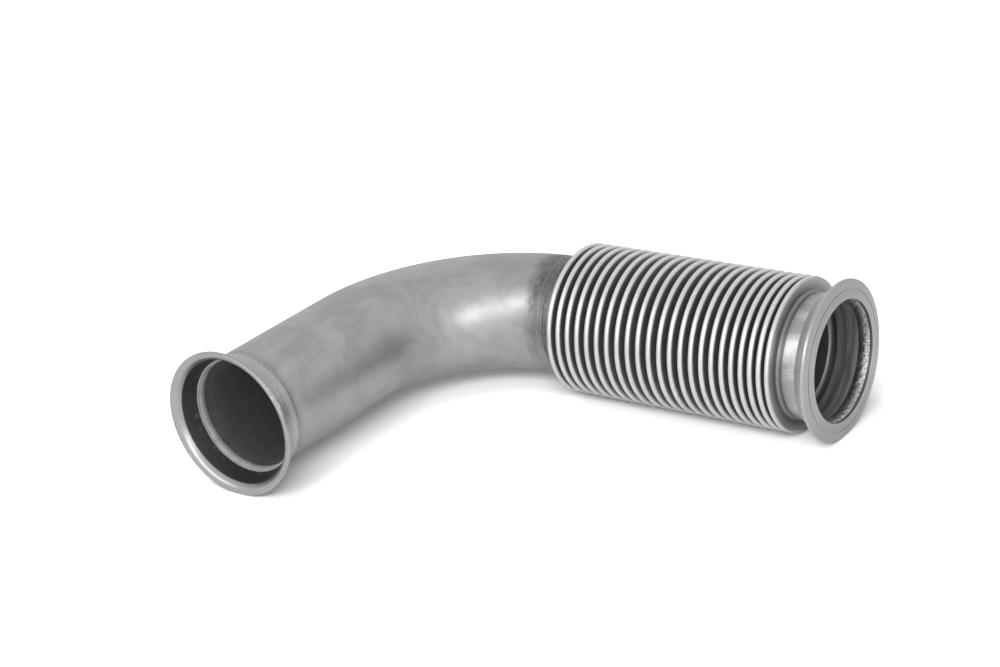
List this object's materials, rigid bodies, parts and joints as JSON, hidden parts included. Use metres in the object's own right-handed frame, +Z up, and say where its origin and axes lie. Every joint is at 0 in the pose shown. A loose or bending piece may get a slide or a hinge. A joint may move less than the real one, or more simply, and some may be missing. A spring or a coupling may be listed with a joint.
{
  "type": "exhaust flex pipe",
  "caption": "Bent stainless exhaust pipe with a long corrugated bellows on one leg and a V-band flange at each end.",
  "frame": {"origin": "middle of the base of the bounding box; the outlet flange's rim touches Z = 0", "axes": "+X along the outlet leg, pointing out of the outlet; -Y out of the inlet; +Z up, square to the bend"},
  "size_m": [0.4642, 0.3668, 0.1344],
  "materials": {
    "pressed_flange_steel": "satin pressed stainless steel, faint radial streaks",
    "tube_steel": "satin stainless tube, blotchy marks from bending",
    "bellows_steel": "frosted satin stainless sheet",
    "liner_steel": "smooth stainless sheet",
    "turned_steel": "turned stainless steel, fine rings",
    "weld_steel": "stainless weld bead with fine ripples"
  },
  "bodies": {
    "inlet_pipe": {"inlet_flange": "pressed_flange_steel", "inlet_weld": "weld_steel", "inlet_seam_weld": "weld_steel", "bent_tube": "tube_steel", "bellows_weld": "weld_steel", "liner": "liner_steel"},
    "bellows_middle": {"bellows": "bellows_steel"},
    "outlet_end": {"outlet_collar": "tube_steel", "outlet_flange": "turned_steel", "outlet_weld": "weld_steel"}
  },
  "joints": [
    {"name": "bellows_stretch", "type": "slide", "parent": "inlet_pipe", "child": "bellows_middle", "axis": [1, 0, 0], "range_m": [-0.015, 0.01], "stiffness_N_per_m": 27000, "deforming": ["bellows"]},
    {"name": "bellows_bend", "type": "hinge", "parent": "bellows_middle", "child": "outlet_end", "pos_m": [0.1459, 0.11625, 0.0672], "axis": [0, 0, 1], "range_deg": [-4, 4], "stiffness_Nm_per_rad": 44, "deforming": ["bellows"]}
  ]
}
